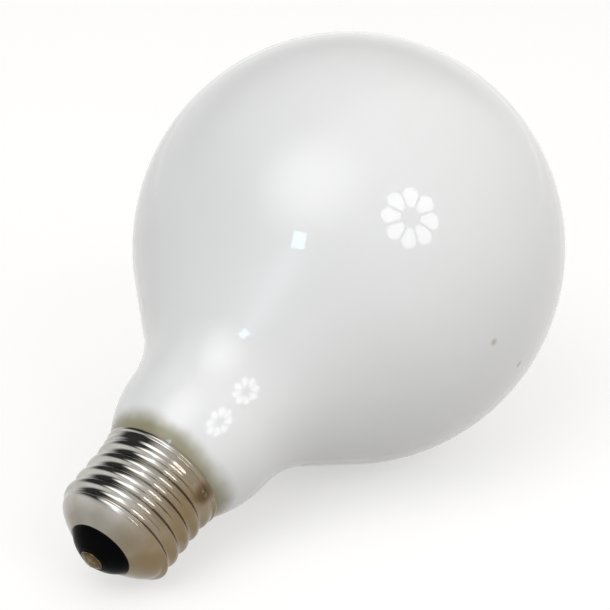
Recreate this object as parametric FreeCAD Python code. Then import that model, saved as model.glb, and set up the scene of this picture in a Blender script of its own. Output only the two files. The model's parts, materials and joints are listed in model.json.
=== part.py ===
import FreeCAD
import Part
import math
import os
from FreeCAD import Vector

# Opal globe lamp with an Edison screw cap. The lamp is drawn on its own axis, with the
# tip of the centre contact at height 0 and the globe above it, and then laid down as it
# comes to rest: on the globe and on the last turn of the thread. Sizes in millimetres.

# Blown glass
GLOBE_DIAMETER = 95.0
NECK_DIAMETER = 35.4
NECK_SLOPE = 4.3
THROAT_ANGLE = 42.5
THROAT_RADIUS = 22.8
SHOULDER_RADIUS = 27.0
SEAL_DEPTH = 12.0
SEAL_CHAMFER = 2.0

# Cap, from the tip of the centre contact to the rim
CAP_LENGTH = 25.0
SHEET = 0.3
LIP_HEIGHT = 0.5
LIP_FLARE = 0.4
COLLAR_HEIGHT = 2.6

# Rolled thread, 7 turns to the inch
THREAD_MAJOR = 26.3
THREAD_MINOR = 24.1
THREAD_PITCH = 25.4 / 7
CREST_FLAT = 0.9
ROOT_FLAT = 0.9
RUN_OUT = 0.5

# Domed end of the shell
DOME_HEIGHT = 4.0
KNUCKLE = 0.6
OPENING_DIAMETER = 13.8

# Black glass insulator, centre contact and solder
INSULATOR_HEIGHT = 2.75
LAND_DIAMETER = 5.8
FLANGE_DIAMETER = 5.0
FLANGE_THICKNESS = 0.25
EYELET_DIAMETER = 2.6
EYELET_LENGTH = 3.6
SOLDER_DIAMETER = 4.6
SOLDER_HEIGHT = 0.9
SOLDER_PLUG = 1.6
RIM_SOLDER_DIAMETER = 2.4
RIM_SOLDER_PROUD = 0.45
RIM_SOLDER_ANGLE = -98.5

# Cement that fills the room between the neck and the shell
CEMENT_GAP = 1.15
SEAT_GAP = 0.3
CEMENT_DIP = 0.3

# How far a cutting body reaches past what it cuts
OVERCUT = 1.0
GROOVE_OVERCUT = 0.2

# Radii
GLOBE_R = GLOBE_DIAMETER / 2
NECK_R = NECK_DIAMETER / 2
CREST_R = THREAD_MAJOR / 2
ROOT_R = THREAD_MINOR / 2
BORE_R = ROOT_R - SHEET
RIM_R = CREST_R + LIP_FLARE
OPENING_R = OPENING_DIAMETER / 2
LAND_R = LAND_DIAMETER / 2
FLANGE_R = FLANGE_DIAMETER / 2
EYELET_R = EYELET_DIAMETER / 2
EYELET_BORE_R = EYELET_R - FLANGE_THICKNESS
SOLDER_R = SOLDER_DIAMETER / 2
STEM_R = BORE_R - CEMENT_GAP
SEAT_R = RIM_R - SHEET - SEAT_GAP

# Heights along the axis, from the tip up
LAND_Z = SOLDER_HEIGHT + FLANGE_THICKNESS
EDGE_Z = LAND_Z + INSULATOR_HEIGHT
DOME_Z = EDGE_Z + DOME_HEIGHT
LAST_CREST_Z = DOME_Z + RUN_OUT + CREST_FLAT / 2
RIM_Z = CAP_LENGTH
LIP_Z = RIM_Z - LIP_HEIGHT
COLLAR_TOP_Z = LIP_Z - LIP_FLARE
COLLAR_Z = RIM_Z - COLLAR_HEIGHT
THREAD_TOP_Z = COLLAR_Z - (CREST_R - ROOT_R)
SEAL_Z = RIM_Z - SEAL_DEPTH

# The glass outline is a chain of tangent arcs that starts where the rim seats it. Shoulder
# and throat meet at the neck, where the glass widens by its least slope
THROAT = math.radians(THROAT_ANGLE)
SLOPE = math.radians(NECK_SLOPE)
SHOULDER_R = NECK_R - SHOULDER_RADIUS * math.cos(SLOPE)
THROAT_R = NECK_R + THROAT_RADIUS * math.cos(SLOPE)
SHOULDER_Z = RIM_Z + math.sqrt(SHOULDER_RADIUS**2 - (SEAT_R - SHOULDER_R) ** 2)
THROAT_Z = SHOULDER_Z - (SHOULDER_RADIUS + THROAT_RADIUS) * math.sin(SLOPE)
GLOBE_Z = THROAT_Z + (GLOBE_R + THROAT_RADIUS - THROAT_R * math.cos(THROAT)) / math.sin(THROAT)

AXIS = Vector(0, 0, 1)
CENTRE = Vector(0, 0, 0)


def at(radius, height):
    """A point of an outline, in the half plane that is turned about the axis."""
    return Vector(radius, 0, height)


def on_arc(centre, radius, degrees):
    """A point of an arc, by its angle from the outward direction."""
    angle = math.radians(degrees)
    return centre + at(radius * math.cos(angle), radius * math.sin(angle))


def turned(start, *steps):
    """A solid turned from a closed outline. A step is a point, or the middle and end of an arc."""
    edges = []
    here = start
    for step in [*steps, start]:
        if isinstance(step, Vector):
            edges.append(Part.LineSegment(here, step).toShape())
            here = step
        else:
            middle, end = step
            edges.append(Part.Arc(here, middle, end).toShape())
            here = end
    return Part.Face(Part.Wire(edges)).revolve(CENTRE, AXIS, 360)


def glass_globe():
    """Blown globe, throat, neck and shoulder, with the sealed stem that the cap holds."""
    globe = at(0, GLOBE_Z)
    throat = at(THROAT_R, THROAT_Z)
    shoulder = at(SHOULDER_R, SHOULDER_Z)
    seat_angle = math.degrees(math.atan2(RIM_Z - SHOULDER_Z, SEAT_R - SHOULDER_R))
    return turned(
        at(0, SEAL_Z),
        at(STEM_R - SEAL_CHAMFER, SEAL_Z),
        at(STEM_R, SEAL_Z + SEAL_CHAMFER),
        at(STEM_R, THREAD_TOP_Z),
        at(SEAT_R, RIM_Z),
        (
            on_arc(shoulder, SHOULDER_RADIUS, (seat_angle - NECK_SLOPE) / 2),
            on_arc(shoulder, SHOULDER_RADIUS, -NECK_SLOPE),
        ),
        (
            on_arc(throat, THROAT_RADIUS, 180 - (THROAT_ANGLE + NECK_SLOPE) / 2),
            on_arc(throat, THROAT_RADIUS, 180 - THROAT_ANGLE),
        ),
        on_arc(globe, GLOBE_R, -THROAT_ANGLE),
        (on_arc(globe, GLOBE_R, 0), on_arc(globe, GLOBE_R, 90)),
    )


def plain_shell():
    """The shell's outside before rolling, filled to the axis: rim lip, crest band and dome."""
    return turned(
        at(0, EDGE_Z),
        at(OPENING_R, EDGE_Z),
        at(ROOT_R - KNUCKLE, DOME_Z - KNUCKLE),
        at(ROOT_R, DOME_Z),
        at(CREST_R, DOME_Z + RUN_OUT),
        at(CREST_R, COLLAR_TOP_Z),
        at(RIM_R, LIP_Z),
        at(RIM_R, RIM_Z),
        at(0, RIM_Z),
    )


def thread_groove():
    """The rolled groove: one section carried round a helix, and run out under the collar."""
    root = ROOT_FLAT / 2
    mouth = (THREAD_PITCH - CREST_FLAT) / 2
    flank = (mouth - root) / (CREST_R - ROOT_R)
    reach_r = CREST_R + GROOVE_OVERCUT
    reach = mouth + GROOVE_OVERCUT * flank
    section = Part.makePolygon(
        [
            at(ROOT_R, -root),
            at(ROOT_R, root),
            at(reach_r, reach),
            at(reach_r, -reach),
            at(ROOT_R, -root),
        ]
    )
    start_z = LAST_CREST_Z - THREAD_PITCH / 2
    helix = Part.makeHelix(THREAD_PITCH, COLLAR_TOP_Z - start_z, ROOT_R)
    groove = Part.Wire(helix).makePipeShell([section], True, True)
    groove.translate(Vector(0, 0, start_z))
    collar = turned(
        at(0, THREAD_TOP_Z - ROOT_R),
        at(RIM_R + OVERCUT, THREAD_TOP_Z - ROOT_R + RIM_R + OVERCUT),
        at(RIM_R + OVERCUT, RIM_Z + CREST_R),
        at(0, RIM_Z + CREST_R),
    )
    return groove.cut(collar)


def shell_inside(top_z):
    """The room inside the shell, from its opening up to a height within the lip."""
    return turned(
        at(0, EDGE_Z - OVERCUT),
        at(OPENING_R, EDGE_Z - OVERCUT),
        at(OPENING_R, EDGE_Z + SHEET),
        at(ROOT_R - KNUCKLE, DOME_Z - KNUCKLE + SHEET),
        at(BORE_R, DOME_Z),
        at(BORE_R, THREAD_TOP_Z),
        at(CREST_R - SHEET, COLLAR_Z),
        at(CREST_R - SHEET, COLLAR_TOP_Z),
        at(RIM_R - SHEET, LIP_Z),
        at(RIM_R - SHEET, top_z),
        at(0, top_z),
    )


def basing_cement(glass):
    """Cement ring: what is left of the shell's inside round the neck, above the sealed end."""
    below = Part.makeCylinder(ROOT_R, SEAL_Z + SEAL_CHAMFER, CENTRE, AXIS)
    return shell_inside(RIM_Z - CEMENT_DIP).cut(below).cut(glass)


def insulator():
    """Black glass run into the dome, which grips the shell's edge and carries the contact."""
    return turned(
        at(EYELET_R, LAND_Z),
        at(LAND_R, LAND_Z),
        at(OPENING_R, EDGE_Z),
        at(OPENING_R, EDGE_Z + SHEET),
        at(ROOT_R - KNUCKLE, DOME_Z - KNUCKLE + SHEET),
        at(EYELET_R, DOME_Z - KNUCKLE + SHEET),
    )


def centre_contact():
    """Brass eyelet: a flange on the insulator's land and a tube through its hole."""
    return turned(
        at(EYELET_BORE_R, SOLDER_HEIGHT),
        at(FLANGE_R, SOLDER_HEIGHT),
        at(FLANGE_R, LAND_Z),
        at(EYELET_R, LAND_Z),
        at(EYELET_R, LAND_Z + EYELET_LENGTH),
        at(EYELET_BORE_R, LAND_Z + EYELET_LENGTH),
    )


def centre_solder():
    """Solder dome on the eyelet, with the plug that ran up its tube."""
    dome_radius = (SOLDER_R**2 + SOLDER_HEIGHT**2) / (2 * SOLDER_HEIGHT)
    half_angle = math.degrees(math.asin(SOLDER_R / dome_radius)) / 2
    dome = at(0, dome_radius)
    return turned(
        at(0, 0),
        (on_arc(dome, dome_radius, half_angle - 90), at(SOLDER_R, SOLDER_HEIGHT)),
        at(EYELET_BORE_R, SOLDER_HEIGHT),
        at(EYELET_BORE_R, SOLDER_HEIGHT + SOLDER_PLUG),
        at(0, SOLDER_HEIGHT + SOLDER_PLUG),
    )


def rim_solder():
    """Dab of solder on the collar, just under the lip, where the side lead is joined."""
    half = RIM_SOLDER_DIAMETER / 2
    ball_r = (half**2 + RIM_SOLDER_PROUD**2) / (2 * RIM_SOLDER_PROUD)
    middle = at(CREST_R + RIM_SOLDER_PROUD - ball_r, (COLLAR_Z + COLLAR_TOP_Z) / 2)
    collar = Part.makeCylinder(CREST_R, COLLAR_HEIGHT, at(0, COLLAR_Z), AXIS)
    outside = Part.makeCylinder(RIM_R + RIM_SOLDER_PROUD, COLLAR_TOP_Z - COLLAR_Z, at(0, COLLAR_Z), AXIS)
    dab = Part.makeSphere(ball_r, middle).common(outside.cut(collar))
    dab.rotate(CENTRE, AXIS, RIM_SOLDER_ANGLE)
    return dab


def laid_down(parts):
    """Tip the lamp until globe and last crest touch the floor, and centre it over the origin."""
    reach = GLOBE_Z - (LAST_CREST_Z - CREST_FLAT / 2)
    rise = math.asin(GLOBE_R / math.hypot(reach, CREST_R)) - math.atan2(CREST_R, reach)
    tip = 90 - math.degrees(rise)
    for shape in parts.values():
        shape.rotate(CENTRE, Vector(0, 1, 0), tip)
    box = Part.makeCompound(list(parts.values())).optimalBoundingBox(False, False)
    lift = GLOBE_R - GLOBE_Z * math.sin(rise)
    for shape in parts.values():
        shape.translate(Vector(-(box.XMin + box.XMax) / 2, 0, lift))
    return parts


def lamp():
    """All the pieces of the lamp, by name, as it lies."""
    glass = glass_globe()
    shell = plain_shell().cut(thread_groove()).cut(shell_inside(RIM_Z + OVERCUT))
    parts = {
        "glass_globe": glass,
        "screw_shell": shell,
        "basing_cement": basing_cement(glass),
        "insulator": insulator(),
        "centre_contact": centre_contact(),
        "centre_solder": centre_solder(),
        "rim_solder": rim_solder(),
    }
    return laid_down(parts)


os.makedirs("parts", exist_ok=True)
for name, shape in lamp().items():
    shape.exportStep("parts/" + name + ".step")
    print(name, shape.ShapeType, "solids", len(shape.Solids), "volume", round(shape.Volume, 2), shape.isValid())
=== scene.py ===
# %% [markdown]
# # An opal globe bulb, lying at rest
# The construction model of this bulb is finished: every piece has its size and its place.
# This lesson gives it its looks. Three finishes carry the picture: white glass under a glossy
# skin, a rolled screw cap that mirrors the room in bands, and a black glass button with a
# dull drop of solder. We begin with the model, which stays fixed.

# %% Load the construction model
import json
import math

import bmesh
import bpy
from mathutils import Matrix, Vector, noise


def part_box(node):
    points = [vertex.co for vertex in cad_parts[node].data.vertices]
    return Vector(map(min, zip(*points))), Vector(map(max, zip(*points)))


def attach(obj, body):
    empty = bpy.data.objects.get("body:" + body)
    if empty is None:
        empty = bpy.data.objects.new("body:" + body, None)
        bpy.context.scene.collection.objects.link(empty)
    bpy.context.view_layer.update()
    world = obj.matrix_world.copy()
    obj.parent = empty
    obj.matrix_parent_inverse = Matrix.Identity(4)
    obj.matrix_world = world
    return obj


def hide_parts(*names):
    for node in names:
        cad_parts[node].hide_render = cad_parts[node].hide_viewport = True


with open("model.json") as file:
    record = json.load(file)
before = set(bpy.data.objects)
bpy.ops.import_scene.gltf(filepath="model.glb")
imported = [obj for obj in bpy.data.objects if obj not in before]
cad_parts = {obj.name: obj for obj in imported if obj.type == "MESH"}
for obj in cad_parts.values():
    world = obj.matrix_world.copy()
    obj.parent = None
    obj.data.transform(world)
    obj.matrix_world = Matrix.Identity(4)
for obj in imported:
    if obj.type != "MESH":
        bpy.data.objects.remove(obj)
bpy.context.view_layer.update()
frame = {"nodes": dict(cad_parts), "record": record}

# %% [markdown]
# ## The bulb's own axis
# Everything on a bulb is round about one axis, and here that axis leans, because the bulb
# lies on its globe and on the last turn of its thread. The record tells where the tip is
# and which way it points. From these two we make one matrix, so that each piece can be
# modelled upright, with its tip at height 0, and then be laid down.

# %% Axis and globe, read from the frame
MM = 0.001
mounts = {mount["name"]: mount for mount in frame["record"]["mounts"]}
tip = Vector(mounts["tip_contact"]["pos_m"])
axis = -Vector(mounts["tip_contact"]["axis"]).normalized()
sideways = Vector((0, 1, 0))
under = sideways.cross(axis)
bulb_to_world = Matrix.Translation(tip) @ Matrix((under, sideways, axis)).transposed().to_4x4()

glass_low, glass_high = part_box("glass_globe")
GLOBE_R = (glass_high.y - glass_low.y) / 2
GLOBE_Z = ((glass_high.z + glass_low.z) / 2 - tip.z) / axis.z
globe_centre = tip + axis * GLOBE_Z
print("globe radius", round(GLOBE_R / MM, 2), "mm, its centre", round(GLOBE_Z / MM, 2), "mm from the tip")

# %% [markdown]
# ## Camera
# The photograph was taken with a long lens from about half a metre, a little above the cap.
# A camera can be placed by eye, but a measured one saves many rounds of comparing: the
# globe's outline is a circle, so its middle and its size in the picture give the distance
# and the aim, and the ellipses of the cap give the direction.

# %% Camera at the photograph's viewing angle
IMAGE_SIDE = 610
GLOBE_PIXEL = (348.5, 248.6)
FOCAL_PIXELS = 2161
GLOBE_DISTANCE = 0.4758
VIEW_AZIMUTH = math.radians(-53.86)
VIEW_ELEVATION = math.radians(22.72)
SENSOR_WIDTH = 36

to_camera = Vector(
    (
        math.sin(VIEW_AZIMUTH) * math.cos(VIEW_ELEVATION),
        -math.cos(VIEW_AZIMUTH) * math.cos(VIEW_ELEVATION),
        math.sin(VIEW_ELEVATION),
    )
)
image_right = Vector((0, 0, 1)).cross(to_camera).normalized()
image_up = to_camera.cross(image_right)


def through_pixel(pixel):
    """Direction from the camera through a pixel, one unit deep."""
    across = (pixel[0] - IMAGE_SIDE / 2) / FOCAL_PIXELS
    down = (pixel[1] - IMAGE_SIDE / 2) / FOCAL_PIXELS
    return image_right * across - image_up * down - to_camera


camera = bpy.data.objects.new("camera", bpy.data.cameras.new("camera"))
bpy.context.scene.collection.objects.link(camera)
camera.location = globe_centre - through_pixel(GLOBE_PIXEL) * GLOBE_DISTANCE
camera.rotation_euler = to_camera.to_track_quat("Z", "Y").to_euler()
camera.data.sensor_width = SENSOR_WIDTH
camera.data.lens = SENSOR_WIDTH * FOCAL_PIXELS / IMAGE_SIDE
bpy.context.scene.camera = camera
bpy.context.scene.view_settings.view_transform = "Standard"
print("camera at", [round(x, 3) for x in camera.location], "lens", round(camera.data.lens, 1), "mm")

# %% [markdown]
# ## Turning round pieces
# Glass, button, eyelet and solder are all turned forms: an outline of radius and height,
# carried once round the axis. Blender's Screw modifier does this too, but making the rings
# ourselves lets one function serve pieces whose radius also changes on the way round, as
# the thread does. Where a ring has no width it becomes a single point. Each point keeps its
# upright place in an attribute, so that a finish can count heights from the tip.

# %% Rings into meshes
NO_WIDTH = 1e-9


def laid_down(name, mesh):
    """Make the piece: remember each point's upright place, then lay the mesh on the bulb's axis."""
    data = bpy.data.meshes.new(name)
    mesh.to_mesh(data)
    mesh.free()
    upright = data.attributes.new("upright_place", "FLOAT_VECTOR", "POINT")
    for point, stored in zip(data.vertices, upright.data):
        stored.vector = point.co
    data.transform(bulb_to_world)
    data.shade_smooth()
    piece = bpy.data.objects.new(name, data)
    bpy.context.scene.collection.objects.link(piece)
    return piece


def ring_mesh(name, rows, columns, place, closed=False):
    """A mesh of rings: place(row, angle) gives each point, and a closed one joins last to first."""
    mesh = bmesh.new()
    rings = []
    for row in rows:
        width = (place(row, 0.0) - place(row, math.pi)).length
        count = columns if width > NO_WIDTH else 1
        rings.append([mesh.verts.new(place(row, 2 * math.pi * k / columns)) for k in range(count)])
    following = rings[1:] + rings[:1] if closed else rings[1:]
    for lower, upper in zip(rings, following):
        for k in range(columns):
            after = (k + 1) % columns
            corners = [lower[k % len(lower)], lower[after % len(lower)]]
            corners += [upper[after % len(upper)], upper[k % len(upper)]]
            mesh.faces.new(list(dict.fromkeys(corners)))
    bmesh.ops.recalc_face_normals(mesh, faces=mesh.faces)
    return laid_down(name, mesh)


def turned(name, outline, columns=192, closed=False):
    """A round piece from its outline of (radius, height) points."""

    def place(row, angle):
        radius, height = row
        return Vector((radius * math.cos(angle), radius * math.sin(angle), height))

    return ring_mesh(name, outline, columns, place, closed)


print("pieces are turned upright and laid down along", [round(x, 3) for x in axis])


# %% [markdown]
# Outlines are chains of arcs, straight stretches and corners. No real edge is quite sharp, so
# a corner can be given a length in which it bends, by a short curve from one side to the
# other. These small bends are what catches the light along an edge.


# %% Outline helpers
def arc(centre, radius, start, end, steps):
    """Points of an arc in the outline's plane, with angles in degrees from the outward way."""
    points = []
    for step in range(steps + 1):
        angle = math.radians(start + (end - start) * step / steps)
        points.append((centre[0] + radius * math.cos(angle), centre[1] + radius * math.sin(angle)))
    return points


def straight(start, end, steps):
    """Points of a straight stretch of an outline."""
    return [tuple(Vector(start).lerp(Vector(end), step / steps)) for step in range(steps + 1)]


def softened(corners, steps=6):
    """Round each corner of an outline: a corner is (radius, height, length given to the bend)."""
    points = []
    for before, corner, after in zip([corners[0]] + corners, corners, corners[1:] + [corners[-1]]):
        here = Vector(corner[:2])
        bend = corner[2]
        if not bend:
            points.append(tuple(here))
            continue
        start = here + (Vector(before[:2]) - here).normalized() * bend
        end = here + (Vector(after[:2]) - here).normalized() * bend
        for step in range(steps + 1):
            t = step / steps
            points.append(tuple(start * (1 - t) ** 2 + here * 2 * t * (1 - t) + end * t**2))
    return points


print("a softened corner has", len(softened([(0, 0, 0), (1, 0, 0.1), (1, 1, 0)])) - 2, "points")

# %% [markdown]
# ## Opal glass: the form
# The bulb is blown from one tube: a true sphere, a hollow throat, a neck that swells once
# more and then narrows into the cap. A sphere joined to a cylinder would show a crease, so
# the outline is a chain of arcs, each tangent to the next, as the glass itself flows. Between
# throat and sphere the wall is nearly straight: that stretch is what draws the window's
# reflection out into a streak.

# %% Glass outline
RIM_Z = 25.0 * MM
SEAT_R = 12.95 * MM
NECK_R = 17.7 * MM
NECK_SLOPE = 4.3
THROAT_ANGLE = 42.5
THROAT_RADIUS = 22.8 * MM
SHOULDER_RADIUS = 27.0 * MM
STEM_R = 10.6 * MM
STEM_Z = 21.3 * MM
SEAL_Z = 13.0 * MM
SEAL_CHAMFER = 2.0 * MM
SHOULDER_STEPS = 24
THROAT_STEPS = 30
CONE_STEPS = 12
GLOBE_STEPS = 90
GLASS_COLUMNS = 256

slope = math.radians(NECK_SLOPE)
shoulder_r = NECK_R - SHOULDER_RADIUS * math.cos(slope)
throat_r = NECK_R + THROAT_RADIUS * math.cos(slope)
shoulder_z = RIM_Z + math.sqrt(SHOULDER_RADIUS**2 - (SEAT_R - shoulder_r) ** 2)
throat_z = shoulder_z - (SHOULDER_RADIUS + THROAT_RADIUS) * math.sin(slope)
seat_angle = math.degrees(math.atan2(RIM_Z - shoulder_z, SEAT_R - shoulder_r))

glass_outline = softened(
    [
        (0, SEAL_Z, 0),
        (STEM_R - SEAL_CHAMFER, SEAL_Z, SEAL_CHAMFER / 2),
        (STEM_R, SEAL_Z + SEAL_CHAMFER, SEAL_CHAMFER / 2),
        (STEM_R, STEM_Z, SEAL_CHAMFER / 2),
        (SEAT_R, RIM_Z, 0),
    ]
)
shoulder = (shoulder_r, shoulder_z)
throat = (throat_r, throat_z)
glass_outline += arc(shoulder, SHOULDER_RADIUS, seat_angle, -NECK_SLOPE, SHOULDER_STEPS)[1:]
glass_outline += arc(throat, THROAT_RADIUS, 180 - NECK_SLOPE, 180 - THROAT_ANGLE, THROAT_STEPS)[1:]
globe_arc = arc((0, GLOBE_Z), GLOBE_R, -THROAT_ANGLE, 90, GLOBE_STEPS)
glass_outline += straight(glass_outline[-1], globe_arc[0], CONE_STEPS)[1:-1]
glass_outline += globe_arc[:-1]
glass_outline.append((0, GLOBE_Z + GLOBE_R))

glass = turned("opal_globe", glass_outline, GLASS_COLUMNS)
print("glass of", len(glass_outline), "rings, throat at", round(throat_z / MM, 2), "mm")

# %% [markdown]
# ## Small helpers for finishes
# Materials here are node trees, and most nodes are added, set and linked in the same way. A
# few helpers keep each material short enough to read as a recipe: a soft ramp that turns a
# number into a mask, a blend that lays one colour over another by such a mask, and a way to
# put two masks together.


# %% Node helpers
def add(tree, kind, inputs=(), **settings):
    """Add a node, then set its properties and its input values."""
    node = tree.nodes.new("ShaderNode" + kind)
    for name, value in settings.items():
        setattr(node, name, value)
    for name, value in dict(inputs).items():
        node.inputs[name].default_value = value
    return node


def link(tree, source, target):
    """Join two sockets: each is (node, socket name or number)."""
    tree.links.new(source[0].outputs[source[1]], target[0].inputs[target[1]])


def new_material(name):
    """An empty material with its output and its main shader."""
    material = bpy.data.materials.new(name)
    material.use_nodes = True
    tree = material.node_tree
    tree.nodes.clear()
    shader = add(tree, "BsdfPrincipled")
    output = add(tree, "OutputMaterial")
    link(tree, (shader, "BSDF"), (output, "Surface"))
    return material, tree, shader


def ramp(tree, source, low, high, from_value=0.0, to_value=1.0):
    """A soft step: from_value below low, to_value above high."""
    limits = {"From Min": low, "From Max": high, "To Min": from_value, "To Max": to_value}
    node = add(tree, "MapRange", limits, interpolation_type="SMOOTHSTEP")
    link(tree, source, (node, "Value"))
    return node, 0


def blend(tree, mask, base, top):
    """Lay the colour top over base by a mask. base is a colour, or a (node, socket) pair."""
    mix = add(tree, "Mix", data_type="RGBA")
    mix.inputs[7].default_value = top
    link(tree, mask, (mix, 0))
    if isinstance(base[0], bpy.types.Node):
        link(tree, base, (mix, 6))
    else:
        mix.inputs[6].default_value = base
    return mix, 2


def combine(tree, operation, first, second):
    """Two numbers put together, for example multiplied."""
    node = add(tree, "Math", operation=operation)
    link(tree, first, (node, 0))
    link(tree, second, (node, 1))
    return node, 0


print("node helpers ready")


# %% [markdown]
# A finish that counts in metres from the bulb's tip fits every piece, with no unwrapping. So
# the next helpers read the upright place that each point has kept, and build noise, distances
# and relief on it. A noise scale counts waves to the metre: 100 gives patches about a
# centimetre wide. Most of a noise lies between 0.3 and 0.7, so masks are often cut from that
# range. The last helper gives a piece its finish and ties it to the construction.

# %% Helpers in the piece's own place
NOISE_RANGE = (0.3, 0.7)
PATCH_RANGE = (0.35, 0.65)


def own_place(tree):
    """The place that each point had while its piece stood upright, in metres."""
    return add(tree, "Attribute", attribute_name="upright_place"), "Vector"


def noise_at(tree, scale, detail=4, stretch=(1, 1, 1), distortion=0.0):
    """Noise in the piece's own place, stretched along its axes."""
    mapping = add(tree, "Mapping", {"Scale": stretch})
    link(tree, own_place(tree), (mapping, "Vector"))
    texture = add(tree, "TexNoise", {"Scale": scale, "Detail": detail, "Distortion": distortion})
    link(tree, (mapping, 0), (texture, "Vector"))
    return texture, 0


def distance_to(tree, point):
    """How far a place is from a point of the upright bulb."""
    away = add(tree, "VectorMath", {1: point}, operation="DISTANCE")
    link(tree, own_place(tree), (away, 0))
    return away, "Value"


def roughen(tree, shader, height, strength, depth):
    """Let a height pattern tilt the light, as a shallow relief does."""
    bump = add(tree, "Bump", {"Strength": strength, "Distance": depth})
    link(tree, height, (bump, "Height"))
    link(tree, (bump, 0), (shader, "Normal"))


def dress(piece, material, slot, *nodes):
    """Give a piece its finish, let it ride on the bulb and stand for its construction nodes."""
    piece.data.materials.append(material)
    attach(piece, "root")
    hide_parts(*nodes)
    print(piece.name, len(piece.data.polygons), "faces, stands for", ", ".join(nodes))


print("a height of", round(RIM_Z / MM, 1), "mm from the tip is the cap's rim")

# %% [markdown]
# ## What the camera sees at a pixel
# Some marks and lights are easiest to place by the picture: a speck of dirt by its pixel, and
# a lamp by the pixel in which the glass mirrors it. One ray from the camera finds the glass
# there. The facets of the mesh would tilt a mirror direction a little, so the outward way is
# mixed from the smooth normals at the face's corners, each the heavier the nearer it is.

# %% Rays to the glass
LEAST_DISTANCE = 1e-6

bpy.context.view_layer.update()


def on_glass(pixel):
    """Point of the glass that the camera sees at a pixel, and the smooth outward way there."""
    found, point, _, face = glass.ray_cast(camera.location, through_pixel(pixel).normalized())
    if not found:
        raise ValueError(f"the camera sees no glass at pixel {pixel}")
    outward = Vector()
    for corner in glass.data.polygons[face].vertices:
        vertex = glass.data.vertices[corner]
        outward += vertex.normal / max((vertex.co - point).length, LEAST_DISTANCE)
    return point, outward.normalized()


def mirrored_way(pixel):
    """The way in which the glass at a pixel sends the camera's ray on."""
    point, outward = on_glass(pixel)
    return (point - camera.location).normalized().reflect(outward)


nearest = on_glass(GLOBE_PIXEL)[0]
print("the globe's nearest point is", round((nearest - camera.location).length, 4), "m from the camera")

# %% [markdown]
# ## Opal glass: the finish
# The white is a powder on the inside of clear glass. So the surface is as smooth as any
# glass, and the colour is matt white just under it. A light scatter below the skin softens
# the shading, as the powder does. The powder thins out unevenly above the cap, where an olive
# band is painted: bare glass together with a painted reflection of the cap's collar. Two faint
# brown specks of dirt sit low on the globe.

# %% Opal glass material
OPAL_WHITE = (0.80, 0.80, 0.79, 1)
OPAL_GREY = (0.765, 0.763, 0.75, 1)
# The olive colour below is bare glass with a painted reflection of the cap's collar.
BARE_GLASS_AND_COLLAR_REFLECTION = (0.31, 0.29, 0.19, 1)
SPECK_BROWN = (0.42, 0.29, 0.20, 1)
POWDER_AND_REFLECTION_EDGE = RIM_Z + 2.7 * MM
EDGE_FADE = 1.9 * MM
EDGE_RAGGED = 1.3 * MM
SPECK_PIXELS = ((494, 342), (519, 364))
SPECK_RADIUS = 1.3 * MM
SPECK_COVER = 0.6
CLOUD_SCALE = 38
EDGE_SCALE = 85
SMEAR_SCALE = 90
SMEAR_RANGE = (0.35, 0.75)
GLASS_GLOSS = (0.01, 0.035)
GLASS_IOR = 1.5
SCATTER_SHARE = 0.25
SCATTER_DEPTH = 4 * MM
SCATTER_TINT = (1.0, 0.95, 0.9)


def opal_glass():
    """Glossy clear glass over a white powder, thin near the cap with a painted reflection of the collar,
    and two specks of dirt.
    """
    material, tree, shader = new_material("opal_glass")
    colour = blend(tree, noise_at(tree, CLOUD_SCALE), OPAL_WHITE, OPAL_GREY)

    height = add(tree, "SeparateXYZ")
    link(tree, own_place(tree), (height, 0))
    ragged = ramp(tree, noise_at(tree, EDGE_SCALE, 3), *NOISE_RANGE, -EDGE_RAGGED / 2, EDGE_RAGGED / 2)
    uneven = combine(tree, "ADD", (height, "Z"), ragged)
    # Painted reflection: the olive band above the cap is bare glass with a painted reflection of the
    # collar.
    bare_glass_and_reflection = ramp(tree, uneven, POWDER_AND_REFLECTION_EDGE - EDGE_FADE, POWDER_AND_REFLECTION_EDGE + EDGE_FADE, 1.0, 0.0)
    colour = blend(tree, bare_glass_and_reflection, colour, BARE_GLASS_AND_COLLAR_REFLECTION)

    for pixel in SPECK_PIXELS:
        centre = bulb_to_world.inverted() @ on_glass(pixel)[0]
        speck = ramp(tree, distance_to(tree, centre), 0.0, SPECK_RADIUS, SPECK_COVER, 0.0)
        colour = blend(tree, speck, colour, SPECK_BROWN)
    link(tree, colour, (shader, "Base Color"))

    smears = noise_at(tree, SMEAR_SCALE, 6, distortion=0.6)
    gloss = ramp(tree, smears, *SMEAR_RANGE, *GLASS_GLOSS)
    link(tree, gloss, (shader, "Roughness"))
    shader.inputs["IOR"].default_value = GLASS_IOR
    shader.inputs["Subsurface Weight"].default_value = SCATTER_SHARE
    shader.inputs["Subsurface Radius"].default_value = SCATTER_TINT
    shader.inputs["Subsurface Scale"].default_value = SCATTER_DEPTH
    return material


dress(glass, opal_glass(), "opal_glass", "glass_globe")

# %% [markdown]
# ## Screw cap: the form
# The cap is drawn from thin sheet and its thread is rolled between two rollers, so crest and
# root are the same round bend, turned over. That makes it easy to write down: the distance
# from the nearest crest gives the radius, by one arc for the crest and one for the root. A
# displacement texture could raise a thread too, but it would not run out cleanly into the
# collar and the dome, and these ends are what the eye looks for.

# %% Rolled thread
CREST_R = mounts["screw_thread"]["dims"]["r_mm"] * MM
ROOT_R = 12.05 * MM
PITCH = 25.4 / 7 * MM
SHEET = 0.3 * MM
DOME_Z = 7.9 * MM
RUN_OUT = 0.5 * MM
LAST_CREST_Z = 8.85 * MM
COLLAR_Z = 22.4 * MM
COLLAR_TOP_Z = 24.1 * MM
RUN_BEND = 0.35 * MM

DEPTH = CREST_R - ROOT_R
ROLL_R = (PITCH**2 / 4 + DEPTH**2) / (4 * DEPTH)


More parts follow.
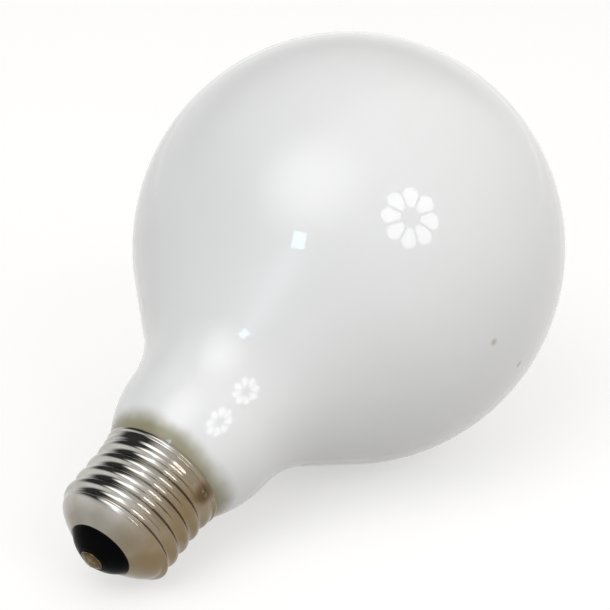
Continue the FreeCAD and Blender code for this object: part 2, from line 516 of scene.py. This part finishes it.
def rolled(angle, height):
    """Radius of the endless thread: an arc over each crest and its mirror in each root."""
    turns = (height - LAST_CREST_Z) / PITCH - angle / (2 * math.pi)
    away = abs(turns - round(turns)) * PITCH
    if away <= PITCH / 4:
        return CREST_R - ROLL_R + math.sqrt(ROLL_R**2 - away**2)
    return ROOT_R + ROLL_R - math.sqrt(ROLL_R**2 - (PITCH / 2 - away) ** 2)


def soft_least(a, b):
    """The smaller of two radii, with a bend in place of the corner where they cross."""
    near = max(RUN_BEND - abs(a - b), 0) / RUN_BEND
    return min(a, b) - near**2 * RUN_BEND / 4


def shell_radius(angle, height):
    """The shell's outside: thread, run out into the dome below and into the collar above."""
    from_dome = ROOT_R + (height - DOME_Z) * DEPTH / RUN_OUT
    into_collar = ROOT_R + DEPTH + height - COLLAR_Z
    radius = soft_least(rolled(angle, height), from_dome)
    radius = -soft_least(-radius, -into_collar)
    return soft_least(radius, CREST_R + RUN_BEND / 4)


print("roll radius", round(ROLL_R / MM, 3), "mm for a thread", round(DEPTH / MM, 2), "mm deep")

# %% [markdown]
# Below the thread the sheet closes in a dome to the black button, and above it a short
# collar ends in a flared lip. These are fixed outlines, so the shell's rows are a list: plain
# rows carry their own radius, and thread rows ask the function above. The sheet's inside
# follows at one thickness, which makes the mesh a closed skin of real sheet metal.

# %% Shell mesh
OPENING_R = 6.9 * MM
EDGE_Z = 3.9 * MM
RIM_R = 13.55 * MM
LIP_Z = 24.5 * MM
LIP_BEND = 0.16 * MM
EDGE_BEND = 0.1 * MM
DOME_STEPS = 20
THREAD_STEP = 0.14 * MM
INSIDE_FROM = 4
INSIDE_STRIDE = 2
SHELL_COLUMNS = 240
DOME_BULGE = ((12.05 * MM, 7.1 * MM), (9.7 * MM, 5.65 * MM))


def dome_point(t):
    """Point of the dome's outline, from the thread (t = 0) to the opening (t = 1)."""
    curve = [(ROOT_R, DOME_Z), *DOME_BULGE, (OPENING_R, EDGE_Z)]
    weights = [(1 - t) ** 3, 3 * t * (1 - t) ** 2, 3 * t**2 * (1 - t), t**3]
    return tuple(sum(w * p[k] for w, p in zip(weights, curve)) for k in (0, 1))


dome = [dome_point(1 - step / DOME_STEPS) for step in range(DOME_STEPS + 1)]
thread_count = round((COLLAR_TOP_Z - LIP_BEND - DOME_Z) / THREAD_STEP)
thread = [DOME_Z + THREAD_STEP * step for step in range(1, thread_count)]
lip = softened(
    [
        (CREST_R, COLLAR_TOP_Z - 2 * LIP_BEND, 0),
        (CREST_R, COLLAR_TOP_Z, LIP_BEND),
        (RIM_R, LIP_Z, LIP_BEND),
        (RIM_R, RIM_Z, EDGE_BEND),
        (RIM_R - SHEET, RIM_Z, EDGE_BEND),
        (RIM_R - SHEET, LIP_Z, LIP_BEND),
        (CREST_R - SHEET, COLLAR_TOP_Z, LIP_BEND),
        (CREST_R - SHEET, COLLAR_TOP_Z - 2 * LIP_BEND, 0),
    ]
)[1:-1]
dome_inside = [(radius, height + SHEET) for radius, height in reversed(dome)]
dome_inside[0] = (ROOT_R - SHEET, DOME_Z + SHEET)

rows = [("plain", point) for point in dome]
rows += [("thread", height) for height in thread]
rows += [("plain", point) for point in lip]
rows += [("inside", height) for height in reversed(thread[INSIDE_FROM::INSIDE_STRIDE])]
rows += [("plain", point) for point in dome_inside]


def shell_place(row, angle):
    """A point of the sheet: a plain outline point, or the thread's outside or inside."""
    kind, value = row
    if kind == "plain":
        radius, height = value
    else:
        height = value
        radius = shell_radius(angle, height) - (SHEET if kind == "inside" else 0)
    return Vector((radius * math.cos(angle), radius * math.sin(angle), height))


shell = ring_mesh("rolled_shell", rows, SHELL_COLUMNS, shell_place, closed=True)
print("shell of", len(rows), "rings")

# %% [markdown]
# ## Screw cap: the finish
# Bright plating is a mirror that has been handled. Its colour is the metal's own reflection
# colour, and its life comes from small faults: fine lines that the rollers left round the
# cap, a gloss that changes from place to place and the stain of the flux at the rim. A brown
# towards one side is tarnish with a painted reflection of a brown table, and the dome is
# darkened by heat tint with a painted reflection of dark surroundings.

# %% Plating material
PLATE = (0.50, 0.485, 0.455, 1)
PLATE_DULL = (0.41, 0.395, 0.36, 1)
# The next two colours are tarnish and heat tint, and they also carry painted reflections: a brown table
# on one side, dark surroundings on the dome.
TARNISH_AND_TABLE_REFLECTION = (0.21, 0.15, 0.075, 1)
HEAT_TINT_AND_DARK_REFLECTION = (0.22, 0.197, 0.16, 1)
FLUX = (0.09, 0.05, 0.022, 1)
DULL_SCALE = 140
DULL_RANGE = (0.35, 0.7)
MOTTLE_SCALE = 110
MOTTLE_RANGE = (0.2, 0.65)
MOTTLE = (0.7, 1.0)
HEAT_AND_REFLECTION_REACH = 3 * MM
HEAT_AND_REFLECTION_SHARE = 0.9
STAIN_REACH = (1.0 * MM, 3.4 * MM)
STAIN_SHARE = 0.9
HANDLING_SCALE = 420
HANDLING_RANGE = (0.3, 0.75)
PLATE_GLOSS = (0.07, 0.17)
ROLLER_SCALE = 100
ROLLER_STRETCH = (1, 1, 60)
ROLLER_RELIEF = (0.05, 0.02 * MM)
DAB_ANGLE = math.radians(-98.5)
DAB_Z = (COLLAR_Z + COLLAR_TOP_Z) / 2
DAB_PLACE = Vector((CREST_R * math.cos(DAB_ANGLE), CREST_R * math.sin(DAB_ANGLE), DAB_Z))
TARNISH_AND_REFLECTION_ANGLE = math.radians(-72)
TARNISH_AND_REFLECTION_SPREAD = (0.0, 0.85)
TARNISH_AND_REFLECTION_SHARE = 0.95


def toward(tree, angle):
    """How far a place lies towards an angle round the axis, from -1 to 1 on the cap's skin."""
    way = Vector((math.cos(angle), math.sin(angle), 0)) / CREST_R
    dot = add(tree, "VectorMath", {1: way}, operation="DOT_PRODUCT")
    link(tree, own_place(tree), (dot, 0))
    return dot, "Value"


def plating():
    """Bright plated sheet with roller lines, uneven gloss, a flux stain, and tarnish and heat tint with
    painted reflections.
    """
    material, tree, shader = new_material("bright_plating")
    shader.inputs["Metallic"].default_value = 1.0
    dulled = ramp(tree, noise_at(tree, DULL_SCALE, 3), *DULL_RANGE)
    colour = blend(tree, dulled, PLATE, PLATE_DULL)
    mottle = ramp(tree, noise_at(tree, MOTTLE_SCALE, 3, distortion=0.4), *MOTTLE_RANGE, *MOTTLE)
    height = add(tree, "SeparateXYZ")
    link(tree, own_place(tree), (height, 0))
    # Painted reflection: the dome is darkened, partly heat tint and partly a painted reflection of dark
    # surroundings.
    heat_and_dark_reflection = ramp(tree, (height, "Z"), DOME_Z - HEAT_AND_REFLECTION_REACH, DOME_Z, HEAT_AND_REFLECTION_SHARE, 0.0)
    colour = blend(tree, combine(tree, "MULTIPLY", heat_and_dark_reflection, mottle), colour, HEAT_TINT_AND_DARK_REFLECTION)
    # Painted reflection: brown towards one side, partly tarnish and partly a painted reflection of a
    # brown table.
    tarnish_and_reflection_side = ramp(tree, toward(tree, TARNISH_AND_REFLECTION_ANGLE), *TARNISH_AND_REFLECTION_SPREAD, 0.0, TARNISH_AND_REFLECTION_SHARE)
    colour = blend(tree, combine(tree, "MULTIPLY", tarnish_and_reflection_side, mottle), colour, TARNISH_AND_TABLE_REFLECTION)
    stain = ramp(tree, distance_to(tree, DAB_PLACE), *STAIN_REACH, STAIN_SHARE, 0.0)
    colour = blend(tree, combine(tree, "MULTIPLY", stain, mottle), colour, FLUX)
    link(tree, colour, (shader, "Base Color"))
    gloss = ramp(tree, noise_at(tree, HANDLING_SCALE, 6), *HANDLING_RANGE, *PLATE_GLOSS)
    link(tree, gloss, (shader, "Roughness"))
    roller_lines = noise_at(tree, ROLLER_SCALE, 3, stretch=ROLLER_STRETCH)
    roughen(tree, shader, roller_lines, *ROLLER_RELIEF)
    return material


dress(shell, plating(), "bright_plating", "screw_shell")

# %% [markdown]
# ## Black button
# The cap's end is closed by black glass, pressed while soft, so its edges are round and its
# face falls away from a raised middle. Black glass shows almost nothing but its gloss, which
# is why the finish is a deep black with a low specular level, a faint ripple and some dust.

# %% Black glass button
LAND_R = 2.9 * MM
LAND_Z = 1.15 * MM
EYELET_R = 1.3 * MM
BUTTON_TOP_Z = 7.5 * MM
BUTTON_TOP_R = 11.2 * MM
CROWN = (5.3 * MM, 2.35 * MM)
LAND_BEND = 0.5 * MM
CROWN_BEND = 1.2 * MM
FIT_GAP = 0.02 * MM
BLACK = (0.0015, 0.0015, 0.002, 1)
DUST = (0.012, 0.011, 0.009, 1)
DUST_SCALE = 900
DUST_RANGE = (0.6, 0.85)
DUST_SHARE = 0.5
BUTTON_SCALE = 350
BUTTON_GLOSS = (0.08, 0.2)
BUTTON_SPECULAR = 0.02
RIPPLE_SCALE = 260
RIPPLE_RELIEF = (0.15, 0.06 * MM)

button_outline = softened(
    [
        (EYELET_R, LAND_Z, 0),
        (LAND_R, LAND_Z, LAND_BEND),
        (*CROWN, CROWN_BEND),
        (OPENING_R - FIT_GAP, EDGE_Z - FIT_GAP, EDGE_BEND),
        (OPENING_R - FIT_GAP, EDGE_Z + SHEET, 0),
        (BUTTON_TOP_R, BUTTON_TOP_Z, 0),
        (EYELET_R, BUTTON_TOP_Z, 0),
    ]
)
button = turned("black_button", button_outline, closed=True)


def black_glass():
    """Pressed black glass: deep gloss, a faint ripple and a little dust."""
    material, tree, shader = new_material("black_glass")
    dust = ramp(tree, noise_at(tree, DUST_SCALE, 8), *DUST_RANGE, 0.0, DUST_SHARE)
    link(tree, blend(tree, dust, BLACK, DUST), (shader, "Base Color"))
    gloss = ramp(tree, noise_at(tree, BUTTON_SCALE, 5), *NOISE_RANGE, *BUTTON_GLOSS)
    link(tree, gloss, (shader, "Roughness"))
    shader.inputs["Specular IOR Level"].default_value = BUTTON_SPECULAR
    roughen(tree, shader, noise_at(tree, RIPPLE_SCALE, 3), *RIPPLE_RELIEF)
    return material


dress(button, black_glass(), "black_glass", "insulator")

# %% [markdown]
# ## Brass eyelet
# A small brass tube goes through the button, with a flange pressed over the glass. Only the
# flange's edge shows, as a thin ring round the solder, but the whole outline is as easily
# turned, and the mesh is then a true eyelet.

# %% Brass eyelet
FLANGE_R = 2.5 * MM
FLANGE_Z = 0.9 * MM
EYELET_BORE_R = 1.05 * MM
EYELET_TOP_Z = 4.75 * MM
FLANGE_BEND = 0.1 * MM
BRASS = (0.20, 0.14, 0.06, 1)
BRASS_BROWN = (0.09, 0.06, 0.03, 1)
BRASS_SCALE = 900
BRASS_GLOSS_SCALE = 1400
BRASS_GLOSS = (0.3, 0.5)
EYELET_COLUMNS = 96

eyelet_outline = softened(
    [
        (EYELET_BORE_R, FLANGE_Z, FLANGE_BEND),
        (FLANGE_R, FLANGE_Z, FLANGE_BEND),
        (FLANGE_R, LAND_Z, 0),
        (EYELET_R, LAND_Z, 0),
        (EYELET_R, EYELET_TOP_Z, 0),
        (EYELET_BORE_R, EYELET_TOP_Z, 0),
    ]
)
eyelet = turned("brass_eyelet", eyelet_outline, EYELET_COLUMNS, closed=True)


def tarnished_brass():
    """Dull brass with brown in its patches."""
    material, tree, shader = new_material("tarnished_brass")
    shader.inputs["Metallic"].default_value = 1.0
    patches = ramp(tree, noise_at(tree, BRASS_SCALE, 6), *PATCH_RANGE)
    link(tree, blend(tree, patches, BRASS, BRASS_BROWN), (shader, "Base Color"))
    gloss = ramp(tree, noise_at(tree, BRASS_GLOSS_SCALE, 4), *NOISE_RANGE, *BRASS_GLOSS)
    link(tree, gloss, (shader, "Roughness"))
    return material


dress(eyelet, tarnished_brass(), "brass", "centre_contact")

# %% [markdown]
# ## Solder on the eyelet
# The lead wire comes out through the eyelet and is sealed there with a drop of solder. The
# drop is turned like the rest and then pushed about by noise, because no two drops set alike.
# Its flux has yellowed it and spotted it brown, and a painted shade darkens it towards the edge.

# %% Solder on the eyelet
SOLDER_R = 2.3 * MM
PLUG_Z = 2.5 * MM
PLUG_GAP = 0.01 * MM
DROP_STEPS = 28
DROP_CURVE = 2.1
DROP_LUMP = 0.16 * MM
LUMP_WIDTH = 1.1 * MM
GRAIN_WIDTH = 0.5 * MM
DROP_SWELL = 0.05
SWELL_WAVES = 1.3
DROP_COLUMNS = 96

drop_outline = []
for step in range(DROP_STEPS + 1):
    share = step / DROP_STEPS
    drop_outline.append((SOLDER_R * share, FLANGE_Z * share**DROP_CURVE))
drop_outline += [(EYELET_BORE_R, FLANGE_Z + PLUG_GAP), (EYELET_BORE_R, PLUG_Z), (0, PLUG_Z)]


def drop_place(row, angle):
    """A point of the drop: the dome sags and swells by noise, and keeps clear of the tip."""
    radius, height = row
    point = Vector((radius * math.cos(angle), radius * math.sin(angle), height))
    if height < FLANGE_Z:
        lump = noise.noise(point / LUMP_WIDTH) + 0.5 * noise.noise(point / GRAIN_WIDTH)
        point.z = max(point.z + DROP_LUMP * (lump + 0.5) * (1 - height / FLANGE_Z), 0)
        around = Vector((math.cos(angle), math.sin(angle), 0))
        swell = 1 + DROP_SWELL * (noise.noise(around * SWELL_WAVES) - 1)
        point.x *= swell
        point.y *= swell
    return point


drop = ring_mesh("centre_drop", drop_outline, DROP_COLUMNS, drop_place)
print("drop of", len(drop_outline), "rings, with a plug in the eyelet")

# %% [markdown]
# One finish serves both joints of the cap, so it is a function. It is told where the middle of
# the joint is, how far the joint reaches, and how much of it burnt flux has spotted.

# %% Solder material
# The last colour below serves both burnt flux spots and the painted shade at a joint's edge.
SOLDER_GREY = (0.20, 0.17, 0.10, 1)
SOLDER_DULL = (0.11, 0.085, 0.042, 1)
BURNT_FLUX_AND_EDGE_SHADE = (0.07, 0.042, 0.022, 1)
SOLDER_SCALE = 700
BURNT_SCALE = 1100
BURNT_RANGE = (0.5, 0.7)
EDGE_SHADE_FROM = 0.45
EDGE_SHADE_SHARE = 0.85
SOLDER_GLOSS_SCALE = 1600
SOLDER_GLOSS = (0.22, 0.4)
SOLDER_GRAIN_SCALE = 2500
SOLDER_RELIEF = (0.35, 0.05 * MM)


def dull_solder(name, burnt_share, centre, reach):
    """Grey solder that set dull, yellowed and spotted brown by flux, with a painted shade towards its
    edge.
    """
    material, tree, shader = new_material(name)
    shader.inputs["Metallic"].default_value = 1.0
    patches = ramp(tree, noise_at(tree, SOLDER_SCALE, 6), *PATCH_RANGE)
    colour = blend(tree, patches, SOLDER_GREY, SOLDER_DULL)
    spots = noise_at(tree, BURNT_SCALE, 5, distortion=1.0)
    burnt_spots_and_edge_shade = ramp(tree, spots, *BURNT_RANGE, 0.0, burnt_share)
    # Painted shade: the joint darkens towards its edge, where a rounded drop turns away from the light.
    edge = ramp(tree, distance_to(tree, centre), reach * EDGE_SHADE_FROM, reach, 0.0, EDGE_SHADE_SHARE)
    burnt_spots_and_edge_shade = combine(tree, "MAXIMUM", burnt_spots_and_edge_shade, edge)
    link(tree, blend(tree, burnt_spots_and_edge_shade, colour, BURNT_FLUX_AND_EDGE_SHADE), (shader, "Base Color"))
    gloss = ramp(tree, noise_at(tree, SOLDER_GLOSS_SCALE, 4), *NOISE_RANGE, *SOLDER_GLOSS)
    link(tree, gloss, (shader, "Roughness"))
    roughen(tree, shader, noise_at(tree, SOLDER_GRAIN_SCALE, 5), *SOLDER_RELIEF)
    return material


drop_finish = dull_solder("centre_solder", burnt_share=0.4, centre=(0, 0, 0), reach=SOLDER_R)
dress(drop, drop_finish, "solder", "centre_solder")

# %% [markdown]
# ## Solder at the rim
# The second lead comes out between glass and lip and is soldered to the collar. It is a flat
# dab, so it is made as a round patch that is wrapped on the collar: each ring of the patch is
# laid out flat, bent round the cap's radius and raised by its own thickness.

# %% Rim dab
DAB_HALF = 1.2 * MM
DAB_PROUD = 0.4 * MM
DAB_ASPECT = 0.66
DAB_SUNK = 0.05 * MM
DAB_RINGS = 14
DAB_LUMP = 0.18
LUMP_WAVES = 1.6
LUMP_SEED = 2.0
DAB_GRAIN = 0.12
DAB_GRAIN_WIDTH = 0.4 * MM
DAB_COLUMNS = 48

dab_rows = [("top", step / DAB_RINGS) for step in range(DAB_RINGS + 1)]
dab_rows += [("under", step / DAB_RINGS) for step in range(DAB_RINGS - 2, -1, -2)]


def dab_place(row, angle):
    """A point of the dab, laid flat, bent round the collar and raised."""
    face, share = row
    around = Vector((math.cos(angle), math.sin(angle), LUMP_SEED))
    lumpy = 1 + DAB_LUMP * noise.noise(around * LUMP_WAVES)
    across = DAB_HALF * share * lumpy * math.cos(angle)
    along = DAB_HALF * share * lumpy * math.sin(angle) * DAB_ASPECT
    radius = CREST_R - DAB_SUNK
    if face == "top":
        grain = DAB_GRAIN * noise.noise(Vector((across, along, 0)) / DAB_GRAIN_WIDTH)
        radius += (DAB_PROUD + DAB_SUNK) * (1 - share**2) * (1 + grain)
    turn = DAB_ANGLE + across / CREST_R
    return Vector((radius * math.cos(turn), radius * math.sin(turn), DAB_Z + along))


rim_dab = ring_mesh("rim_dab", dab_rows, DAB_COLUMNS, dab_place)
dab_finish = dull_solder("rim_solder", burnt_share=0.9, centre=DAB_PLACE, reach=DAB_HALF)
dress(rim_dab, dab_finish, "solder", "rim_solder")

# %% [markdown]
# ## Basing cement
# The ring of cement between neck and shell is a construction node that keeps its own mesh,
# since only a hair of it shows behind the lip. It still gets a real finish: a matt, grainy
# tan, baked a little darker in places.

# %% Cement material
CEMENT_TAN = (0.52, 0.46, 0.34, 1)
CEMENT_BAKED = (0.33, 0.27, 0.18, 1)
CEMENT_SCALE = 1500
CEMENT_ROUGHNESS = 0.95
CEMENT_RELIEF = (0.6, 0.1 * MM)


def baked_cement():
    """Matt tan cement with grain and darker, baked places."""
    material, tree, shader = new_material("baked_cement")
    place = add(tree, "TexCoord")
    grain = add(tree, "TexNoise", {"Scale": CEMENT_SCALE, "Detail": 8})
    link(tree, (place, "Object"), (grain, "Vector"))
    baked = ramp(tree, (grain, 0), *NOISE_RANGE)
    link(tree, blend(tree, baked, CEMENT_TAN, CEMENT_BAKED), (shader, "Base Color"))
    shader.inputs["Roughness"].default_value = CEMENT_ROUGHNESS
    roughen(tree, shader, (grain, 0), *CEMENT_RELIEF)
    return material


cement = frame["nodes"]["basing_cement"]
cement.material_slots[0].material = baked_cement()
print("cement keeps its own mesh of", len(cement.data.polygons), "faces")

# %% [markdown]
# ## Floor and surroundings
# The bulb lies on a plain pale floor that runs out to white. A floor can be bleached with
# more light, but then the white glass would clip too. So the floor is an ordinary matt pale
# grey that takes the bulb's shadow, and it adds some light of its own only for rays that come
# from the camera or from a reflection. Far out it adds more, so that no horizon shows.

# %% Floor
FLOOR_SIDE = 8.0
FLOOR_COLOUR = (0.50, 0.49, 0.475, 1)
FLOOR_LIFT = 0.55
FLOOR_FADE = (0.6, 2.8)


def seen_in_glass(tree, path):
    """1 for rays that come from a mirror reflection or through glass, else 0."""
    return combine(tree, "MAXIMUM", (path, "Is Glossy Ray"), (path, "Is Transmission Ray"))


bpy.ops.mesh.primitive_plane_add(size=FLOOR_SIDE)
floor = bpy.context.object
floor.name = "floor"

floor_paint, tree, shader = new_material("pale_floor")
shader.inputs["Base Color"].default_value = FLOOR_COLOUR
shader.inputs["Roughness"].default_value = 1.0
shader.inputs["Specular IOR Level"].default_value = 0.0
shader.inputs["Emission Color"].default_value = (1, 1, 1, 1)
path = add(tree, "LightPath")
seen = combine(tree, "MAXIMUM", (path, "Is Camera Ray"), seen_in_glass(tree, path))
place = add(tree, "TexCoord")
outward = add(tree, "VectorMath", operation="LENGTH")
link(tree, (place, "Object"), (outward, 0))
lift = ramp(tree, (outward, "Value"), *FLOOR_FADE, FLOOR_LIFT, 1.0)
link(tree, combine(tree, "MULTIPLY", seen, lift), (shader, "Emission Strength"))
floor.data.materials.append(floor_paint)
print("floor", FLOOR_SIDE, "m wide, lifted by", FLOOR_LIFT)

# %% [markdown]
# The world lights the bulb from all round, most from above, from the right and from behind,
# as a room with one bright side does. The camera sees it plain white. In the glass and
# the plating it shows as a studio: white low down, and overhead bright behind the camera and
# dark beyond the bulb on the left, which gives the cap something dark to mirror.

# %% World
TO_THE_RIGHT = 0.7
TO_THE_BACK = 0.3
BRIGHT_SIDE = (Vector((0, 0, 1)) + image_right * TO_THE_RIGHT - to_camera * TO_THE_BACK).normalized()
AMBIENT = (0.0, 0.80)
STUDIO_LOW = 0.95
STUDIO_HEIGHTS = (0.06, 0.50)
OVERHEAD = (0.90, 0.05)
OVERHEAD_SPREAD = (-0.1, 0.35)
DIM_SIDE = -(image_right + Vector((to_camera.x, to_camera.y, 0)).normalized()).normalized()

world = bpy.data.worlds.new("studio")
bpy.context.scene.world = world
world.use_nodes = True
tree = world.node_tree
tree.nodes.clear()
direction = add(tree, "TexCoord")
brightness = add(tree, "VectorMath", {1: BRIGHT_SIDE}, operation="DOT_PRODUCT")
link(tree, (direction, "Generated"), (brightness, 0))
limits = {"From Min": -1.0, "From Max": 1.0, "To Min": AMBIENT[0], "To Max": AMBIENT[1]}
ambient = add(tree, "MapRange", limits)
link(tree, (brightness, "Value"), (ambient, "Value"))
parts = add(tree, "SeparateXYZ")
link(tree, (direction, "Generated"), (parts, 0))
dimness = add(tree, "VectorMath", {1: DIM_SIDE}, operation="DOT_PRODUCT")
link(tree, (direction, "Generated"), (dimness, 0))
studio = add(tree, "Mix", {2: STUDIO_LOW})
link(tree, ramp(tree, (parts, "Z"), *STUDIO_HEIGHTS), (studio, 0))
link(tree, ramp(tree, (dimness, "Value"), *OVERHEAD_SPREAD, *OVERHEAD), (studio, 3))
path = add(tree, "LightPath")
in_glass = add(tree, "Mix")
link(tree, seen_in_glass(tree, path), (in_glass, 0))
link(tree, (ambient, 0), (in_glass, 2))
link(tree, (studio, 0), (in_glass, 3))
in_camera = add(tree, "Mix", {3: 1.0})
link(tree, (path, "Is Camera Ray"), (in_camera, 0))
link(tree, (in_glass, 0), (in_camera, 2))
background = add(tree, "Background", {"Color": (1, 1, 1, 1)})
link(tree, (in_camera, 0), (background, "Strength"))
world_output = add(tree, "OutputWorld")
link(tree, (background, 0), (world_output, "Surface"))
print("world: ambient from", AMBIENT[0], "to", AMBIENT[1])
print("brightest towards", [round(x, 2) for x in BRIGHT_SIDE])

# %% [markdown]
# ## Lamps
# Four lights show in the glass. A round ceiling lamp of eight petal-shaped panes makes the
# flower, a wide diffuser makes the soft glow, and a cool window with a pale curtain round it
# stands low behind the camera. Each is placed by the way in which the glass mirrors it at
# its spot in the picture. All but the window are meshes that glow, because a plain square
# light would leave a hard square in the glass: the lamp is cut into panes, and the diffuser
# and the curtain fade from their middle.

# %% Glowing sheets
LAMP_PIXEL = (411, 217)
GLOW_PIXEL = (311, 184)
WINDOW_PIXEL = (300, 241)


def stand_at(light, pixel, distance):
    """Put a light where the glass mirrors it at a pixel, and turn it to the glass."""
    point = on_glass(pixel)[0]
    way = mirrored_way(pixel)
    light.location = point + way * distance
    light.rotation_euler = way.to_track_quat("Z", "Y").to_euler()
    print(light.name, "stands at", [round(x, 2) for x in light.location])


def glowing_sheet(name, mesh, strength, fade_radius=0.0, colour=(1, 1, 1)):
    """A mesh that gives light and shows only in reflections. With a fade it turns clear outwards."""
    data = bpy.data.meshes.new(name)
    mesh.to_mesh(data)
    mesh.free()
    sheet = bpy.data.objects.new(name, data)
    bpy.context.scene.collection.objects.link(sheet)
    sheet.visible_camera = False
    material = bpy.data.materials.new(name)
    material.use_nodes = True
    tree = material.node_tree
    tree.nodes.clear()
    emission = add(tree, "Emission", {"Color": (*colour, 1), "Strength": strength})
    output = add(tree, "OutputMaterial")
    link(tree, (emission, 0), (output, "Surface"))
    if fade_radius:
        place = add(tree, "TexCoord")
        away = add(tree, "VectorMath", operation="LENGTH")
        link(tree, (place, "Object"), (away, 0))
        clear = add(tree, "BsdfTransparent")
        fading = add(tree, "MixShader")
        link(tree, ramp(tree, (away, "Value"), 0.0, fade_radius), (fading, 0))
        link(tree, (emission, 0), (fading, 1))
        link(tree, (clear, 0), (fading, 2))
        link(tree, (fading, 0), (output, "Surface"))
    data.materials.append(material)
    return sheet


print("the glass mirrors the lamps at pixels", LAMP_PIXEL, GLOW_PIXEL, WINDOW_PIXEL)

# %% [markdown]
# The ceiling lamp is a ring of petals. Each petal is a strip between an inner and an outer
# edge, and the outer edge is drawn in towards its ends, so that it looks round in the glass.
# Narrow gaps are left between them, or their reflections would run together into a ring.

# %% Ceiling lamp of eight panes
LAMP_DISTANCE = 2.6
LAMP_PANES = 8
PANE_RADII = (0.24, 0.71)
PANE_GAP = 0.07
PANE_ROUND = 0.2
PANE_TURN = 0.5
PANE_STEPS = 12
PANE_STRENGTH = 5.0

panes = bmesh.new()
for number in range(LAMP_PANES):
    middle = 2 * math.pi * (number + PANE_TURN) / LAMP_PANES
    edges = []
    for radius, rounding in zip(PANE_RADII, (0.0, PANE_ROUND)):
        half = math.pi / LAMP_PANES - PANE_GAP / 2 / radius
        edge = []
        for step in range(PANE_STEPS + 1):
            share = 2 * step / PANE_STEPS - 1
            turn = middle + half * share
            reach = radius * (1 - rounding * share**2)
            edge.append(panes.verts.new((reach * math.sin(turn), reach * math.cos(turn), 0)))
        edges.append(edge)
    inner, outer = edges
    for step in range(PANE_STEPS):
        panes.faces.new((inner[step], inner[step + 1], outer[step + 1], outer[step]))
ceiling_lamp = glowing_sheet("ceiling_lamp", panes, PANE_STRENGTH)
stand_at(ceiling_lamp, LAMP_PIXEL, LAMP_DISTANCE)

# %% [markdown]
# The diffuser is the main light. It glows from its middle and turns clear towards its rim, so
# the glass mirrors it as a glow that has no edge. A rim that only went dark would hide the
# bright room behind it and draw a faint ring in the glass.

# %% Overhead diffuser with a soft edge
GLOW_DISTANCE = 1.5
GLOW_RADIUS = 1.05
GLOW_STRENGTH = 3.4
DISC_CORNERS = 64


def fading_disc(name, radius, strength, pixel, distance, colour=(1, 1, 1)):
    """A round sheet that glows from its middle, mirrored in the glass at a pixel."""
    disc = bmesh.new()
    bmesh.ops.create_circle(disc, cap_ends=True, segments=DISC_CORNERS, radius=radius)
    sheet = glowing_sheet(name, disc, strength, radius, colour)
    stand_at(sheet, pixel, distance)


fading_disc("overhead_diffuser", GLOW_RADIUS, GLOW_STRENGTH, GLOW_PIXEL, GLOW_DISTANCE)

# %% [markdown]
# The window is the one plain area light: small, cool and crisp. The curtain is a dim disc
# round it, which the straight stretch of the glass draws out into a pale streak.

# %% Cool window and its curtain
CURTAIN_PIXEL = (278, 280)
CURTAIN_DISTANCE = 1.7
CURTAIN_RADIUS = 0.5
CURTAIN_STRENGTH = 2.4
CURTAIN_COLOUR = (0.80, 0.90, 1.0)
WINDOW_DISTANCE = 1.6
WINDOW_SIZE = (0.20, 0.24)
WINDOW_COLOUR = (0.55, 0.76, 1.0)
WINDOW_WATTS = 1.0

window = bpy.data.lights.new("window", "AREA")
window.shape = "RECTANGLE"
window.size, window.size_y = WINDOW_SIZE
window.energy = WINDOW_WATTS
window.color = WINDOW_COLOUR
window_object = bpy.data.objects.new("window", window)
bpy.context.scene.collection.objects.link(window_object)
stand_at(window_object, WINDOW_PIXEL, WINDOW_DISTANCE)
fading_disc("curtain", CURTAIN_RADIUS, CURTAIN_STRENGTH, CURTAIN_PIXEL, CURTAIN_DISTANCE, CURTAIN_COLOUR)
